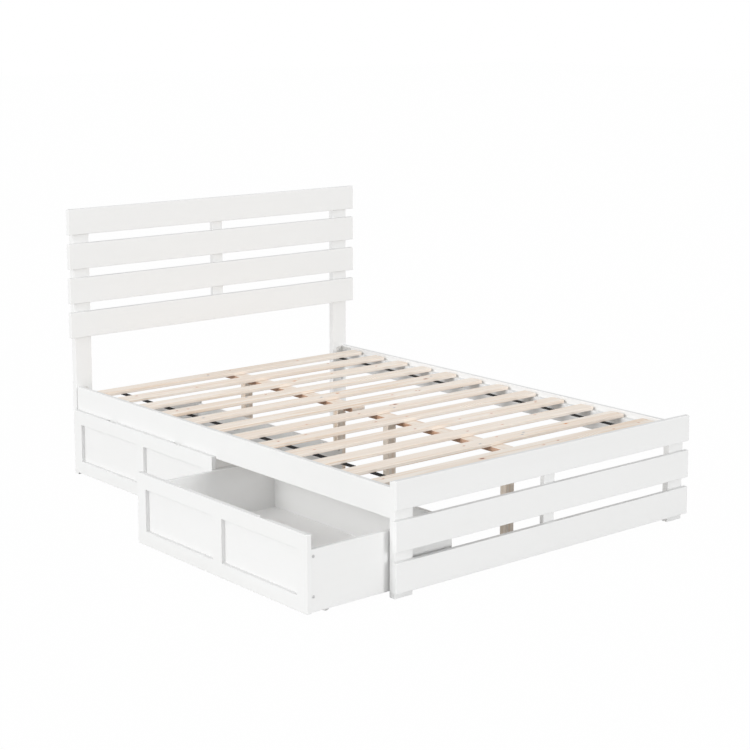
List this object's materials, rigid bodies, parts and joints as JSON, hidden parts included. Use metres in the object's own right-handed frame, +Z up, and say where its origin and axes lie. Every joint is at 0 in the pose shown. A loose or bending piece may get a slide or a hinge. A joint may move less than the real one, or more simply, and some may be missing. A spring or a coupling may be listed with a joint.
{
  "type": "bed_frame",
  "caption": "White painted pine double bed frame with a plank headboard and footboard, a slatted base and wheeled storage drawers under one side",
  "frame": {"origin": "under the middle of the whole object's box on the floor, with the foot drawer standing open", "axes": "+X across the bed to the side without drawers, +Y from the foot to the head, +Z up"},
  "size_m": [1.833, 2.104, 1.131],
  "materials": {
    "white_paint": "satin white paint on pine boards",
    "pine": "planed, untreated",
    "black_webbing": "woven",
    "zinc_steel": "zinc plated, dull",
    "screw_steel": "zinc plated",
    "housing_plastic": "matte",
    "wheel_plastic": "matte"
  },
  "bodies": {
    "root": {"centre_beam_foot": "pine", "centre_beam_head": "pine", "centre_legs_foot": "pine", "centre_legs_head": "pine", "corner_brackets": "zinc_steel", "foot_board_1": "white_paint", "foot_board_2": "white_paint", "foot_board_3": "white_paint", "foot_middle_stile": "white_paint", "foot_post_left": "white_paint", "foot_post_right": "white_paint", "frame_bolts": "screw_steel", "frame_screws": "screw_steel", "head_board_1": "white_paint", "head_board_2": "white_paint", "head_board_3": "white_paint", "head_board_4": "white_paint", "head_middle_stile": "white_paint", "head_post_left": "white_paint", "head_post_right": "white_paint", "side_rail_left": "white_paint", "side_rail_right": "white_paint", "slat_01": "pine", "slat_02": "pine", "slat_03": "pine", "slat_04": "pine", "slat_05": "pine", "slat_06": "pine", "slat_07": "pine", "slat_08": "pine", "slat_09": "pine", "slat_10": "pine", "slat_11": "pine", "slat_12": "pine", "slat_ledger_left": "white_paint", "slat_ledger_right": "white_paint", "webbing_foot": "black_webbing", "webbing_head": "black_webbing"},
    "drawer_head": {"drawer_head_back": "white_paint", "drawer_head_castor_housings": "housing_plastic", "drawer_head_floor": "white_paint", "drawer_head_front_frame": "white_paint", "drawer_head_front_panels": "white_paint", "drawer_head_inner_front": "white_paint", "drawer_head_screws": "screw_steel", "drawer_head_side_foot": "white_paint", "drawer_head_side_head": "white_paint"},
    "wheels_head_front": {"drawer_head_wheels_front": "wheel_plastic"},
    "wheels_head_rear": {"drawer_head_wheels_rear": "wheel_plastic"},
    "drawer_foot": {"drawer_foot_back": "white_paint", "drawer_foot_castor_housings": "housing_plastic", "drawer_foot_floor": "white_paint", "drawer_foot_front_frame": "white_paint", "drawer_foot_front_panels": "white_paint", "drawer_foot_inner_front": "white_paint", "drawer_foot_screws": "screw_steel", "drawer_foot_side_foot": "white_paint", "drawer_foot_side_head": "white_paint"},
    "wheels_foot_front": {"drawer_foot_wheels_front": "wheel_plastic"},
    "wheels_foot_rear": {"drawer_foot_wheels_rear": "wheel_plastic"}
  },
  "joints": [
    {"name": "drawer_head_slide", "type": "slide", "parent": "root", "child": "drawer_head", "axis": [-1, 0, 0], "range_m": [0, 0.6]},
    {"name": "drawer_head_front_wheels", "type": "hinge", "parent": "drawer_head", "child": "wheels_head_front", "pos_m": [-0.4845, 0.515, 0.015], "axis": [0, -1, 0], "range_deg": [0, 2293]},
    {"name": "drawer_head_rear_wheels", "type": "hinge", "parent": "drawer_head", "child": "wheels_head_rear", "pos_m": [-0.0325, 0.515, 0.015], "axis": [0, -1, 0], "range_deg": [0, 2293]},
    {"name": "drawer_foot_slide", "type": "slide", "parent": "root", "child": "drawer_foot", "axis": [-1, 0, 0], "range_m": [-0.33, 0.27]},
    {"name": "drawer_foot_front_wheels", "type": "hinge", "parent": "drawer_foot", "child": "wheels_foot_front", "pos_m": [-0.8145, -0.4955, 0.015], "axis": [0, -1, 0], "range_deg": [-1262, 1033]},
    {"name": "drawer_foot_rear_wheels", "type": "hinge", "parent": "drawer_foot", "child": "wheels_foot_rear", "pos_m": [-0.3625, -0.4955, 0.015], "axis": [0, -1, 0], "range_deg": [-1262, 1033]}
  ],
  "couplings": [
    {"joint": "drawer_head_front_wheels", "follows": "drawer_head_slide", "rad_per_m": 66.667},
    {"joint": "drawer_head_rear_wheels", "follows": "drawer_head_slide", "rad_per_m": 66.667},
    {"joint": "drawer_foot_front_wheels", "follows": "drawer_foot_slide", "rad_per_m": 66.667},
    {"joint": "drawer_foot_rear_wheels", "follows": "drawer_foot_slide", "rad_per_m": 66.667}
  ]
}
